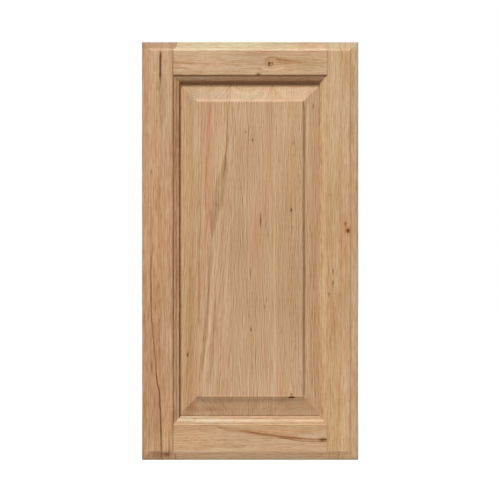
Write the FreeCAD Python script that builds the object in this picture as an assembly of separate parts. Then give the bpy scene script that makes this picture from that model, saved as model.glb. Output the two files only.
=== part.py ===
import FreeCAD, Part
import math
import os
from collections import namedtuple

# A five-piece kitchen cabinet door: two stiles, two rails and a raised panel glued up from three boards.
# Millimetres. The front faces -Y, +X is to the right and +Z is up. The origin is the middle of the door.

# Overall size
door_width = 327.0
door_height = 631.8
door_thickness = 19.05

# Frame members, each measured over its moulded inner edge
stile_width = 58.5
top_rail_width = 61.8
bottom_rail_width = 65.8

# Moulded inner edge of the frame: a small slanted step, an ogee, a quirk and a ledge with a round nose
sticking_width = 12.2
step_run = 1.6
step_drop = 1.6
ogee_start = 2.0
crown_width = 4.2
hollow_width = 3.0
ogee_drop = 3.0
quirk_drop = 1.4
quirk_land = 0.4
ledge_round = 2.0

# Groove in the inner edge, which holds the panel and the stub tenons
groove_depth = 11.1
groove_width = 6.35
back_lip = 4.2
tenon_end_gap = 0.3

# Moulded outer edge: a cove below the face, a long slope and a rounded arris
edge_cove_width = 4.3
edge_cove_drop = 2.2
edge_slope_width = 9.4
edge_slope_angle = 12.0
edge_round = 2.0
back_round = 0.8

# Raised panel: a flat field, a cove, a long bevel and a tongue that sits in the groove
side_exposure = 26.0
top_exposure = 29.2
bottom_exposure = 30.8
raise_cove_width = 5.4
raise_cove_drop = 3.3
bevel_width = 25.8
tongue_length = 3.8
tongue_thickness = 5.0

# Boards of the panel: the places of the two glue joints, from the middle of the panel
left_joint_place = -29.0
right_joint_place = 33.0

# Rubber barrels in the rail grooves, which keep the panel at its height
spacer_diameter = 7.2
spacer_length = 19.0
spacer_from_panel_side = 30.0

# Open defects of the wood, each a hollow given by its place, its size and its depth.
# Across is measured from the middle of the panel or the rail, or in from the outer edge of the stile.
# Up is measured from the middle of the door.
Hollow = namedtuple("Hollow", "across up width height depth")
panel_pin_knots = [
    Hollow(across=4.0, up=167.5, width=1.8, height=2.4, depth=0.8),
    Hollow(across=-7.0, up=179.5, width=1.4, height=2.2, depth=0.6),
    Hollow(across=62.1, up=61.9, width=1.6, height=2.0, depth=0.7),
    Hollow(across=1.3, up=-118.4, width=1.6, height=2.6, depth=0.7),
]
left_bevel_pin_knot = Hollow(across=-94.6, up=-156.8, width=1.8, height=2.2, depth=0.8)
right_bevel_shake = Hollow(across=95.3, up=218.8, width=1.0, height=8.6, depth=0.7)
left_stile_shake = Hollow(across=27.9, up=285.1, width=1.7, height=33.0, depth=1.1)
right_stile_hollows = [
    Hollow(across=16.0, up=31.3, width=3.9, height=3.4, depth=1.4),
    Hollow(across=19.9, up=41.5, width=1.7, height=2.3, depth=0.7),
    Hollow(across=37.6, up=-49.7, width=1.6, height=1.8, depth=0.6),
    Hollow(across=39.2, up=-31.6, width=0.8, height=7.2, depth=0.6),
]

# Open knots on an edge line, so their height is measured from that line instead
open_knot_at_field_line = Hollow(across=62.4, up=-1.2, width=11.6, height=2.8, depth=5.0)
top_knot_below_edge = Hollow(across=30.0, up=33.0, width=4.2, height=5.0, depth=1.5)
bottom_knot_above_edge = Hollow(across=110.3, up=30.9, width=9.6, height=4.6, depth=1.6)
chip_above_face_line = Hollow(across=12.6, up=0.4, width=2.6, height=2.2, depth=0.7)

# Places worked out from the sizes above
face = -door_thickness / 2
back = door_thickness / 2
left_edge = -door_width / 2
right_edge = door_width / 2
bottom_edge = -door_height / 2
top_edge = door_height / 2
opening_left = left_edge + stile_width
opening_right = right_edge - stile_width
opening_bottom = bottom_edge + bottom_rail_width
opening_top = top_edge - top_rail_width
groove_back_depth = door_thickness - back_lip
groove_front_depth = groove_back_depth - groove_width
ogee_end_depth = step_drop + ogee_drop
ledge_depth = ogee_end_depth + quirk_drop
field_left = opening_left + side_exposure
field_right = opening_right - side_exposure
field_bottom = opening_bottom + bottom_exposure
field_top = opening_top - top_exposure
raise_width = raise_cove_width + bevel_width
panel_margin = raise_width + tongue_length
panel_left = field_left - panel_margin
panel_right = field_right + panel_margin
panel_bottom = field_bottom - panel_margin
panel_top = field_top + panel_margin
panel_middle = (panel_left + panel_right) / 2
overrun = 5.0


def line(spot, start, end):
    """A straight edge between two (across, depth) points of a section."""
    return Part.LineSegment(spot(*start), spot(*end)).toShape()


def arc(spot, start, middle, end):
    """A round edge through three (across, depth) points of a section."""
    return Part.Arc(spot(*start), spot(*middle), spot(*end)).toShape()


def polyline(spot, points):
    """Straight edges through a run of (across, depth) points."""
    return [line(spot, start, end) for start, end in zip(points, points[1:])]


def box(x0, x1, y0, y1, z0, z1):
    """A block between two opposite corners."""
    corner = FreeCAD.Vector(x0, y0, z0)
    return Part.makeBox(x1 - x0, y1 - y0, z1 - z0, corner)


def tangent_arc_middle(start, end, end_angle):
    """The middle point of an arc from start to end that leaves the end at end_angle degrees of slope.

    Both points are (across, depth). The slope is depth gained for each step from start towards end.
    """
    run = end[0] - start[0]
    drop = end[1] - start[1]
    chord = math.hypot(run, drop)
    chord_angle = math.atan2(drop, abs(run))
    half_turn = chord_angle - math.radians(end_angle)
    rise = chord / 2 * math.tan(half_turn / 2)
    side = math.copysign(1.0, run)
    normal_across = -side * math.sin(chord_angle)
    normal_depth = math.cos(chord_angle)
    middle_across = (start[0] + end[0]) / 2 + normal_across * rise
    middle_depth = (start[1] + end[1]) / 2 + normal_depth * rise
    return (middle_across, middle_depth)


def rounded_corner(corner, before, after, radius):
    """The start, middle and end of an arc that rounds a corner between two straight edges."""
    to_before = (before[0] - corner[0], before[1] - corner[1])
    to_after = (after[0] - corner[0], after[1] - corner[1])
    length_before = math.hypot(*to_before)
    length_after = math.hypot(*to_after)
    unit_before = (to_before[0] / length_before, to_before[1] / length_before)
    unit_after = (to_after[0] / length_after, to_after[1] / length_after)
    cosine = unit_before[0] * unit_after[0] + unit_before[1] * unit_after[1]
    half_angle = math.acos(cosine) / 2
    reach = radius / math.tan(half_angle)
    start = (corner[0] + unit_before[0] * reach, corner[1] + unit_before[1] * reach)
    end = (corner[0] + unit_after[0] * reach, corner[1] + unit_after[1] * reach)
    bisector = (unit_before[0] + unit_after[0], unit_before[1] + unit_after[1])
    length = math.hypot(*bisector)
    gap = radius / math.sin(half_angle) - radius
    middle = (corner[0] + bisector[0] / length * gap, corner[1] + bisector[1] / length * gap)
    return start, middle, end


def sticking_edges(spot, member_width):
    """The moulded inner edge of a frame member, from its face down to the mouth of the groove."""
    face_line = member_width - sticking_width
    ogee_from = face_line + ogee_start
    ogee_width = crown_width + hollow_width
    half_sweep = math.atan2(ogee_drop, ogee_width)
    crown_radius = crown_width / math.sin(2 * half_sweep)
    hollow_radius = hollow_width / math.sin(2 * half_sweep)
    reach = math.sin(half_sweep)
    fall = 1 - math.cos(half_sweep)
    crown = (ogee_from, step_drop)
    crown_middle = (ogee_from + crown_radius * reach, step_drop + crown_radius * fall)
    turn = (ogee_from + crown_width, step_drop + ogee_drop * crown_width / ogee_width)
    hollow = (ogee_from + ogee_width, ogee_end_depth)
    hollow_middle = (hollow[0] - hollow_radius * reach, ogee_end_depth - hollow_radius * fall)
    quirk = hollow[0] + quirk_land
    sight_corner = (member_width, ledge_depth)
    ledge_foot = (quirk, ledge_depth)
    mouth = (member_width, groove_front_depth)
    round_start, round_middle, round_end = rounded_corner(sight_corner, ledge_foot, mouth, ledge_round)
    edges = polyline(spot, [(face_line, 0.0), (face_line + step_run, step_drop), crown])
    edges.append(arc(spot, crown, crown_middle, turn))
    edges.append(arc(spot, turn, hollow_middle, hollow))
    edges.extend(polyline(spot, [hollow, (quirk, ogee_end_depth), ledge_foot, round_start]))
    edges.append(arc(spot, round_start, round_middle, round_end))
    edges.append(line(spot, round_end, mouth))
    return edges


def frame_member(spot, member_width, run):
    """A straight frame member with its moulded and grooved inner edge, before the outer edge is cut."""
    groove_bottom = member_width - groove_depth
    edges = [line(spot, (0.0, 0.0), (member_width - sticking_width, 0.0))]
    edges.extend(sticking_edges(spot, member_width))
    rest = [
        (member_width, groove_front_depth),
        (groove_bottom, groove_front_depth),
        (groove_bottom, groove_back_depth),
        (member_width, groove_back_depth),
        (member_width, door_thickness),
        (0.0, door_thickness),
        (0.0, 0.0),
    ]
    edges.extend(polyline(spot, rest))
    section = Part.Face(Part.Wire(edges))
    return section.extrude(run)


def outer_edge_profile():
    """The corner points of the moulded outer edge, as (distance in from the edge, depth)."""
    slope = math.tan(math.radians(edge_slope_angle))
    cove_top = (edge_slope_width + edge_cove_width, 0.0)
    cove_foot = (edge_slope_width, edge_cove_drop)
    arris = (0.0, edge_cove_drop + edge_slope_width * slope)
    back_corner = (0.0, door_thickness)
    return cove_top, cove_foot, arris, back_corner


def outer_edge(spot):
    """One moulded outer edge, from the face round to the back."""
    cove_top, cove_foot, arris, back_corner = outer_edge_profile()
    cove_middle = tangent_arc_middle(cove_top, cove_foot, edge_slope_angle)
    front_round = rounded_corner(arris, cove_foot, back_corner, edge_round)
    inside = (edge_slope_width, door_thickness)
    rear_round = rounded_corner(back_corner, arris, inside, back_round)
    edges = [arc(spot, cove_top, cove_middle, cove_foot)]
    edges.append(line(spot, cove_foot, front_round[0]))
    edges.append(arc(spot, *front_round))
    edges.append(line(spot, front_round[2], rear_round[0]))
    edges.append(arc(spot, *rear_round))
    return edges, cove_top, rear_round[2]


def moulded_slab(span, near_spot, far_spot, run):
    """A slab as thick as the door whose two opposite edges are moulded."""
    near_edges, cove_top, back_end = outer_edge(near_spot)
    far_edges, _, _ = outer_edge(far_spot)
    front = Part.LineSegment(near_spot(*cove_top), far_spot(*cove_top)).toShape()
    rear = Part.LineSegment(near_spot(*back_end), far_spot(*back_end)).toShape()
    wire = Part.Wire(Part.__sortEdges__(near_edges + far_edges + [front, rear]))
    return Part.Face(wire).extrude(run)


def from_left(z):
    """Places a section that is measured from the left edge of the door."""
    return lambda across, depth: FreeCAD.Vector(left_edge + across, face + depth, z)


def from_right(z):
    """Places a section that is measured from the right edge of the door."""
    return lambda across, depth: FreeCAD.Vector(right_edge - across, face + depth, z)


def from_bottom(x):
    """Places a section that is measured from the bottom edge of the door."""
    return lambda across, depth: FreeCAD.Vector(x, face + depth, bottom_edge + across)


def from_top(x):
    """Places a section that is measured from the top edge of the door."""
    return lambda across, depth: FreeCAD.Vector(x, face + depth, top_edge - across)


def door_envelope():
    """The outline of the whole door with its moulded outer edge, mitred round all four corners."""
    low = bottom_edge - overrun
    left = left_edge - overrun
    upright = FreeCAD.Vector(0, 0, door_height + 2 * overrun)
    level = FreeCAD.Vector(door_width + 2 * overrun, 0, 0)
    side_moulded = moulded_slab(door_width, from_left(low), from_right(low), upright)
    end_moulded = moulded_slab(door_height, from_bottom(left), from_top(left), level)
    return side_moulded.common(end_moulded)


def hollowed(piece, x, z, surface_depth, hollow):
    """Cuts an open defect, a half egg sunk in the surface at surface_depth below the face."""
    stretch = FreeCAD.Matrix()
    stretch.scale(hollow.width / 2, hollow.depth, hollow.height / 2)
    egg = Part.makeSphere(1.0).transformGeometry(stretch)
    egg.translate(FreeCAD.Vector(x, face + surface_depth, z))
    return piece.cut(egg)


def stile_blanks():
    """The two stiles before their outer edges are moulded. They run the full height of the door."""
    upright = FreeCAD.Vector(0, 0, door_height)
    left = frame_member(from_left(bottom_edge), stile_width, upright)
    right = frame_member(from_right(bottom_edge), stile_width, upright)
    return left, right


def rail(spot_from, member_width, stiles, envelope):
    """A rail between the stiles, with stub tenons in their grooves and ends coped over their moulding."""
    tenon_reach = groove_depth - tenon_end_gap
    start = opening_left - tenon_reach
    length = opening_right - opening_left + 2 * tenon_reach
    blank = frame_member(spot_from(start), member_width, FreeCAD.Vector(length, 0, 0))
    return blank.cut(list(stiles)).common(envelope)


def raise_profile():
    """The points of the raise on one edge of the panel, as (distance in from the panel's edge, depth)."""
    tongue_depth = groove_back_depth - tongue_thickness
    field_line = (panel_margin, 0.0)
    cove_foot = (tongue_length + bevel_width, raise_cove_drop)
    bevel_foot = (tongue_length, tongue_depth)
    tongue_front = (0.0, tongue_depth)
    tongue_back = (0.0, groove_back_depth)
    return field_line, cove_foot, bevel_foot, tongue_front, tongue_back


def raised_slab(near_spot, far_spot, run):
    """A slab with the raise worked on two opposite edges."""
    field_line, cove_foot, bevel_foot, tongue_front, tongue_back = raise_profile()
    bevel_angle = math.degrees(math.atan2(bevel_foot[1] - cove_foot[1], bevel_width))
    cove_middle = tangent_arc_middle(field_line, cove_foot, bevel_angle)
    edges = []
    for spot in (near_spot, far_spot):
        edges.append(arc(spot, field_line, cove_middle, cove_foot))
        edges.extend(polyline(spot, [cove_foot, bevel_foot, tongue_front, tongue_back]))
    edges.append(Part.LineSegment(near_spot(*field_line), far_spot(*field_line)).toShape())
    edges.append(Part.LineSegment(near_spot(*tongue_back), far_spot(*tongue_back)).toShape())
    wire = Part.Wire(Part.__sortEdges__(edges))
    return Part.Face(wire).extrude(run)


def raised_panel():
    """The whole raised panel. The raise is as wide on all four edges, so it mitres at 45 degrees."""
    low = panel_bottom - overrun
    left = panel_left - overrun
    upright = FreeCAD.Vector(0, 0, panel_top - panel_bottom + 2 * overrun)
    level = FreeCAD.Vector(panel_right - panel_left + 2 * overrun, 0, 0)
    sides = raised_slab(
        lambda across, depth: FreeCAD.Vector(panel_left + across, face + depth, low),
        lambda across, depth: FreeCAD.Vector(panel_right - across, face + depth, low),
        upright,
    )
    ends = raised_slab(
        lambda across, depth: FreeCAD.Vector(left, face + depth, panel_bottom + across),
        lambda across, depth: FreeCAD.Vector(left, face + depth, panel_top - across),
        level,
    )
    return sides.common(ends)


def bevel_depth(x):
    """How far the straight part of a side bevel lies below the face of the door at x."""
    _, cove_foot, bevel_foot, _, _ = raise_profile()
    distance_in = min(x - panel_left, panel_right - x)
    slope = (bevel_foot[1] - cove_foot[1]) / bevel_width
    return bevel_foot[1] - (distance_in - bevel_foot[0]) * slope


def panel_hollows():
    """The open defects of the panel, as (x, z, depth of the surface below the face, hollow)."""
    hollows = [(panel_middle + hollow.across, hollow.up, 0.0, hollow) for hollow in panel_pin_knots]
    open_knot = open_knot_at_field_line
    hollows.append((panel_middle + open_knot.across, field_bottom + open_knot.up, 0.0, open_knot))
    for hollow in (left_bevel_pin_knot, right_bevel_shake):
        x = panel_middle + hollow.across
        hollows.append((x, hollow.up, bevel_depth(x), hollow))
    return hollows


def panel_boards():
    """The panel's three edge-glued boards, cut apart at the glue joints, with their open knots."""
    panel = raised_panel()
    joints = [panel_middle + left_joint_place, panel_middle + right_joint_place]
    limits = [panel_left - overrun] + joints + [panel_right + overrun]
    names = ["panel_board_left", "panel_board_middle", "panel_board_right"]
    boards = {}
    for name, x0, x1 in zip(names, limits, limits[1:]):
        block = box(x0, x1, face - overrun, back + overrun, panel_bottom - overrun, panel_top + overrun)
        board = panel.common(block)
        for x, z, surface_depth, hollow in panel_hollows():
            if x0 < x < x1:
                board = hollowed(board, x, z, surface_depth, hollow)
        boards[name] = board
    return boards


def spacer(x, z0, z1):
    """A rubber barrel squeezed between the panel's end and the bottom of the rail's groove."""
    y0 = face + groove_front_depth
    y1 = face + groove_back_depth
    end = FreeCAD.Vector(x, (y0 + y1) / 2, (z0 + z1) / 2)
    barrel = Part.makeCylinder(spacer_diameter / 2, spacer_length, end, FreeCAD.Vector(1, 0, 0))
    room = box(x, x + spacer_length, y0, y1, z0, z1)
    return barrel.common(room)


def panel_spacers():
    """Two rubber barrels above the panel and two below it, lying along the grooves."""
    left = panel_left + spacer_from_panel_side
    right = panel_right - spacer_from_panel_side - spacer_length
    floor = opening_bottom - groove_depth
    ceiling = opening_top + groove_depth
    return {
        "bottom_spacer_left": spacer(left, floor, panel_bottom),
        "bottom_spacer_right": spacer(right, floor, panel_bottom),
        "top_spacer_left": spacer(left, panel_top, ceiling),
        "top_spacer_right": spacer(right, panel_top, ceiling),
    }


def frame_pieces():
    """The four pieces of the frame, with their open knots."""
    envelope = door_envelope()
    stiles = stile_blanks()
    left = stiles[0].common(envelope)
    right = stiles[1].common(envelope)
    top = rail(from_top, top_rail_width, stiles, envelope)
    bottom = rail(from_bottom, bottom_rail_width, stiles, envelope)
    left = hollowed(left, left_edge + left_stile_shake.across, left_stile_shake.up, 0.0, left_stile_shake)
    for hollow in right_stile_hollows:
        right = hollowed(right, right_edge - hollow.across, hollow.up, 0.0, hollow)
    knot = top_knot_below_edge
    top = hollowed(top, knot.across, top_edge - knot.up, 0.0, knot)
    chip = chip_above_face_line
    top = hollowed(top, chip.across, opening_top + sticking_width + chip.up, 0.0, chip)
    knot = bottom_knot_above_edge
    bottom = hollowed(bottom, knot.across, bottom_edge + knot.up, 0.0, knot)
    return {"left_stile": left, "right_stile": right, "top_rail": top, "bottom_rail": bottom}


pieces = {}
pieces.update(frame_pieces())
pieces.update(panel_boards())
pieces.update(panel_spacers())

os.makedirs("parts", exist_ok=True)
for name, shape in pieces.items():
    solid = shape.removeSplitter()
    if len(solid.Solids) != 1 or not solid.isValid():
        raise ValueError(name + " is not one sound solid")
    solid.Solids[0].exportStep("parts/" + name + ".step")
    size = solid.BoundBox
    print(name, round(size.XLength, 2), round(size.YLength, 2), round(size.ZLength, 2), round(solid.Volume))
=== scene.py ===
# %% [markdown]
# # A raised-panel cabinet door in knotty wood
#
# The door is made the way a joiner makes it: two stiles, two rails and a panel of three boards glued edge to
# edge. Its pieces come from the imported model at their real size, and this lesson gives them their looks. It
# writes a wood that is solid all through, so that every moulding cuts through the same rings and fibres, and
# then gives each board the marks that it grew with: knots, mineral streaks, shakes and veins.

# %% Load the pieces
import math
from collections import namedtuple

import bmesh
import bpy
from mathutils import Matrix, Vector


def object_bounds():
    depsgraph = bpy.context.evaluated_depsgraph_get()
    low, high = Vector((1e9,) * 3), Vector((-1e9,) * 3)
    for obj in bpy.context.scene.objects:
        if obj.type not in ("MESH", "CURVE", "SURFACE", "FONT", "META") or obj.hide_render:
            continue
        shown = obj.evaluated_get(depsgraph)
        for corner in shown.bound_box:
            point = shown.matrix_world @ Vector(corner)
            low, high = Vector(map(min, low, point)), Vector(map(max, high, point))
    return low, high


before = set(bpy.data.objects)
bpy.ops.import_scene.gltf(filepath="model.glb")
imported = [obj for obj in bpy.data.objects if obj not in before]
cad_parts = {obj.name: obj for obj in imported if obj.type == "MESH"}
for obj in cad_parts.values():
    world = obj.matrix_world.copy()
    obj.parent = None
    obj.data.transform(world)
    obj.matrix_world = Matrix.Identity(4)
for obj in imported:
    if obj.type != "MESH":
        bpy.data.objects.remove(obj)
solid_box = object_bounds()
scene = bpy.context.scene
metres_per_millimetre = 0.001
print("pieces:", ", ".join(sorted(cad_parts)))

# %% [markdown]
# ## The camera
#
# The door was photographed square on, from straight in front of its middle. A camera with a long lens, a
# good two metres away, shows it just as flat: the mouldings on the left look like those on the right. A
# camera without perspective would do as well, but a long lens is what a photographer would choose. It looks
# along +Y at the moulded face. The scene is in metres, and only the wood counts in millimetres.

# %% Place the camera
face_depth = solid_box[0][1]
camera_distance = 2.2
view_width = 0.7542
sensor_width = 36.0
view_centre_x = -0.00018
view_centre_z = 0.00155

camera_data = bpy.data.cameras.new("camera")
camera_data.sensor_width = sensor_width
camera_data.lens = sensor_width * camera_distance / view_width
camera = bpy.data.objects.new("camera", camera_data)
camera.location = (view_centre_x, face_depth - camera_distance, view_centre_z)
camera.rotation_euler = (math.radians(90), 0, 0)
scene.collection.objects.link(camera)
scene.camera = camera
scene.view_settings.view_transform = "Standard"
print(f"lens {camera_data.lens:.1f} mm at {camera_distance} m")

# %% [markdown]
# ## Working with nodes
#
# Light, floor and wood are all small networks of nodes. They could be built by hand in the editor, but
# written as code they can be read, measured and used again. A few helpers keep that short: one adds a node
# and wires it up, two do sums on one number or on three at a time, and one starts a material.

# %% Node helpers
Socket = bpy.types.NodeSocket


def add(tree, kind, inputs, **settings):
    """Adds a node, sets it, and gives each input a fixed value or a link."""
    made = tree.nodes.new("ShaderNode" + kind)
    for name, value in settings.items():
        setattr(made, name, value)
    for place, value in inputs.items():
        if isinstance(value, Socket):
            tree.links.new(value, made.inputs[place])
        else:
            made.inputs[place].default_value = value
    return made


def math_node(tree, operation, first, second=0.0, third=0.0, clamp=False):
    """One sum, with numbers or links."""
    inputs = {0: first, 1: second, 2: third}
    return add(tree, "Math", inputs, operation=operation, use_clamp=clamp).outputs[0]


def vector_node(tree, operation, first, second=(0, 0, 0), third=(0, 0, 0)):
    """One sum on three numbers at a time."""
    return add(tree, "VectorMath", {0: first, 1: second, 2: third}, operation=operation).outputs[0]


def mix_colours(tree, share, first, second):
    """The first colour where the share is 0 and the second where it is 1."""
    return add(tree, "Mix", {0: share, 6: first, 7: second}, data_type="RGBA").outputs[2]


def grey(level):
    """A colour without any hue."""
    return (level, level, level, 1)


def new_material(name):
    """A new material, its network of nodes and its shader."""
    material = bpy.data.materials.new(name)
    material.use_nodes = True
    tree = material.node_tree
    return material, tree, tree.nodes["Principled BSDF"]


# %% [markdown]
# ## The light
#
# Mouldings only show when light rakes over them, but the side away from the lamp mustn't turn black. The
# world gives an even light from all round for that. The camera sees it as pure white, while the light that
# it sends is weaker. Two strengths for one room could need two renders, but a node that knows what kind of
# ray asks can choose between them.

# %% Light the room evenly
room_light = 0.32


def seen_directly(tree):
    """1 for what the camera sees, also in a mirror or through glass, and 0 for light that falls on things."""
    paths = add(tree, "LightPath", {}).outputs
    through_things = math_node(tree, "MAXIMUM", paths["Is Glossy Ray"], paths["Is Transmission Ray"])
    return math_node(tree, "MAXIMUM", paths["Is Camera Ray"], through_things)


world = bpy.data.worlds.new("studio")
scene.world = world
world.use_nodes = True
sky = world.node_tree
background = sky.nodes["Background"]
background.inputs["Color"].default_value = grey(1)
strength = add(sky, "Mix", {0: seen_directly(sky), 2: room_light, 3: 1.0}).outputs[0]
sky.links.new(strength, background.inputs["Strength"])
print("room light", room_light)

# %% [markdown]
# The main lamp stands high and a little to the left, well off the face's normal. Slopes that look up are
# bright in it, and the underside of the top rail's moulding is deep brown. A wide soft lamp in front fills
# the rest. Near lamps would light one corner more than another. Distant ones light the whole door alike, and
# their shares can be added: with the room they come to one on the flat face, so the wood shows the colour it
# is given.

# %% Hang the lamps
front_light = 0.28
front_tilt = 12
front_spread = 70
main_light = 1.0 - room_light - front_light
main_tilt = 67
main_turn = 18
main_spread = 7


def hang_lamp(name, share, aim, spread):
    """Hangs a soft distant lamp that gives the flat face its share of the light."""
    aim = Vector(aim).normalized()
    data = bpy.data.lights.new(name, "SUN")
    data.energy = share * math.pi / -aim.y
    data.angle = math.radians(spread)
    lamp = bpy.data.objects.new(name, data)
    lamp.rotation_euler = aim.to_track_quat("Z", "Y").to_euler()
    scene.collection.objects.link(lamp)
    print(f"{name}: {share:.2f} of the light, {math.degrees(math.acos(-aim.y)):.0f} degrees off the face")
    return lamp


def aim_at(off_face, turned=0):
    """The way to a lamp that stands off the face's normal, upwards, and turned to the left."""
    off = math.radians(off_face)
    turn = math.radians(turned)
    return (-math.sin(off) * math.sin(turn), -math.cos(off), math.sin(off) * math.cos(turn))


door = bpy.data.collections.new("door")
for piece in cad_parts.values():
    door.objects.link(piece)

main_lamp = hang_lamp("main lamp", main_light, aim_at(main_tilt, main_turn), main_spread)
main_lamp.light_linking.receiver_collection = door
hang_lamp("front lamp", front_light, aim_at(front_tilt), front_spread)

# %% [markdown]
# The lower edge of the door looks down, away from both lamps, and would turn nearly black. In a studio a
# white card lies at the foot of the door for that. A weak lamp from below does the same here. It lights only
# the pieces that have the lower edge, and the floor doesn't stand in its way.

# %% Lay the card at the foot
foot_light = 0.045
foot_tilt = -82
foot_spread = 30
foot = bpy.data.collections.new("foot of the door")
for name in ("left_stile", "right_stile", "bottom_rail"):
    foot.objects.link(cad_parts[name])
card = hang_lamp("foot card", foot_light, aim_at(foot_tilt), foot_spread)
card.light_linking.receiver_collection = foot
card.light_linking.blocker_collection = door

# %% [markdown]
# ## The floor
#
# The door stands on a plain pale floor, one flat face that a bmesh grid makes. Seen by the camera it is
# white, but it keeps the shadow. For light that bounces up it is a light grey, so that the mouldings that
# look down keep their depth. A lamp of its own, high in front, throws the door's soft shadow straight back.

# %% Lay the floor
floor_size = 6.0
floor_gap = 0.00002


def lay_floor():
    """One large flat face, just under the foot of the door."""
    mesh = bpy.data.meshes.new("floor")
    shape = bmesh.new()
    bmesh.ops.create_grid(shape, x_segments=1, y_segments=1, size=floor_size)
    bmesh.ops.translate(shape, verts=shape.verts, vec=(0, 0, solid_box[0][2] - floor_gap))
    shape.to_mesh(mesh)
    shape.free()
    floor = bpy.data.objects.new("floor", mesh)
    scene.collection.objects.link(floor)
    return floor


floor = lay_floor()
print(f"floor: {floor_gap * 1e6:.0f} micrometres below the door")

# %% [markdown]
# Plain white paint would do for the floor if it had to look white only. A little glow that only the camera
# sees lifts it to the white of the room, and a darker shade for all other rays holds back the bounce. The
# floor's lamp is hung by the same helper as the others, so its strength is first turned into the share that
# it would give the door's face.

# %% Paint and light the floor
floor_shade = 0.85
floor_glow = 0.5
floor_bounce = 0.5
floor_roughness = 0.9
floor_lamp_strength = 1.7
floor_lamp_tilt = 50
floor_lamp_spread = 20


def paint_floor(floor):
    """Plain matt white, with a darker white for light that bounces off it."""
    white, tree, shader = new_material("white paper")
    seen = seen_directly(tree)
    shade = mix_colours(tree, seen, grey(floor_bounce), grey(floor_shade))
    glow = math_node(tree, "MULTIPLY", seen, floor_glow)
    tree.links.new(shade, shader.inputs["Base Color"])
    tree.links.new(glow, shader.inputs["Emission Strength"])
    shader.inputs["Emission Color"].default_value = grey(1)
    shader.inputs["Roughness"].default_value = floor_roughness
    shader.inputs["Specular IOR Level"].default_value = 0.0
    floor.data.materials.append(white)


paint_floor(floor)
floor_only = bpy.data.collections.new("floor only")
floor_only.objects.link(floor)
floor_lamp_share = floor_lamp_strength / math.pi * math.cos(math.radians(floor_lamp_tilt))
floor_lamp = hang_lamp("floor lamp", floor_lamp_share, aim_at(floor_lamp_tilt), floor_lamp_spread)
floor_lamp.light_linking.receiver_collection = floor_only

# %% [markdown]
# Nearly all of wood's figure is noise: soft random grains, squeezed across the board and stretched along it.
# Blender's noise is as long as it is wide, so the place is divided by the size that a grain should have. In
# this way every size stays a plain number of millimetres.

# %% Noise in millimetres


def noise(tree, place, size, detail=2.0, roughness=0.5, output="Fac"):
    """Noise whose grains measure size, in millimetres, across, deep and along."""
    squeezed = vector_node(tree, "DIVIDE", place, size)
    inputs = {"Vector": squeezed, "Scale": 1.0, "Detail": detail, "Roughness": roughness}
    return add(tree, "TexNoise", inputs).outputs[output]


def noise_about_zero(tree, place, size):
    """Coloured noise, three numbers that swing about zero."""
    return vector_node(tree, "SUBTRACT", noise(tree, place, size, output="Color"), (0.5, 0.5, 0.5))


def about_zero(tree, value, amount):
    """Shifts noise, which lies about a half, to swing about zero by an amount."""
    return math_node(tree, "MULTIPLY", math_node(tree, "SUBTRACT", value, 0.5), amount)


def place_and_facing(tree):
    """The place on a piece, in millimetres, and the way that its surface faces."""
    outputs = add(tree, "TexCoord", {}).outputs
    scale = (1 / metres_per_millimetre,) * 3
    return vector_node(tree, "MULTIPLY", outputs["Object"], scale), outputs["Normal"]


# %% [markdown]
# ## Solid wood
#
# A board is a slice of a trunk. Its rings are shells round the pith, so one place for the pith gives every
# face its true figure: straight lines where the cut runs across the rings, arches where it grazes them, and
# curved fans where the panel's bevels cut down through them. A picture of wood, laid over each piece, would
# slide along the mouldings. This pattern fills the wood, and the mouldings cut it. It is a node group that
# works on millimetres, with the grain along Z, and all boards share it.
#
# First come the rings. The distance from the pith is divided by the ring's width. What is left over after
# the whole number is the place within the year: it starts with a dark line of large pores and fades.

# %% Growth rings
drift_size = (38, 38, 190)
uneven_years = 3.0
uneven_pace = 0.35
early_fade = 2.2
faintest_year = 0.3
year_range = 0.9


def growth_rings(tree, place, grain, given):
    """How dark the wood is from its rings, where 0 is plain wood and about 1 the dark line of early wood."""
    drift = noise_about_zero(tree, grain, drift_size)
    drift = add(tree, "VectorMath", {0: drift, "Scale": given["Wander"]}, operation="SCALE").outputs[0]
    along = add(tree, "SeparateXYZ", {0: place}).outputs[2]
    shift = add(tree, "CombineXYZ", {0: math_node(tree, "MULTIPLY", along, given["Lean"])}).outputs[0]
    pith = vector_node(tree, "ADD", given["Pith"], shift)
    from_pith = vector_node(tree, "SUBTRACT", vector_node(tree, "ADD", place, drift), pith)
    across_only = vector_node(tree, "MULTIPLY", from_pith, (1, 1, 0))
    radius = add(tree, "VectorMath", {0: across_only}, operation="LENGTH").outputs["Value"]
    years = math_node(tree, "DIVIDE", radius, given["Ring width"])
    inputs = {"W": years, "Scale": uneven_pace, "Detail": 1.0}
    spread = add(tree, "TexNoise", inputs, noise_dimensions="1D").outputs["Fac"]
    years = math_node(tree, "ADD", years, about_zero(tree, spread, uneven_years))
    season = math_node(tree, "FRACT", years)
    early = math_node(tree, "POWER", math_node(tree, "SUBTRACT", 1.0, season), early_fade)
    year = math_node(tree, "FLOOR", years)
    strong = add(tree, "TexWhiteNoise", {"W": year}, noise_dimensions="1D").outputs["Value"]
    strong = math_node(tree, "MULTIPLY_ADD", strong, year_range, faintest_year)
    return math_node(tree, "MULTIPLY", early, strong)


# %% [markdown]
# Next come the fibres. On the frame they are mostly long soft streaks of light and dark, a millimetre or two
# wide. The panel shows thin lines at nearly even distances instead, and a setting called fineness leads from
# the one to the other. Noise has no even distance, so these lines are a wave. Slow noise shifts it sideways,
# and more slow noise makes it come and go, or the lines would look ruled.

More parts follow.
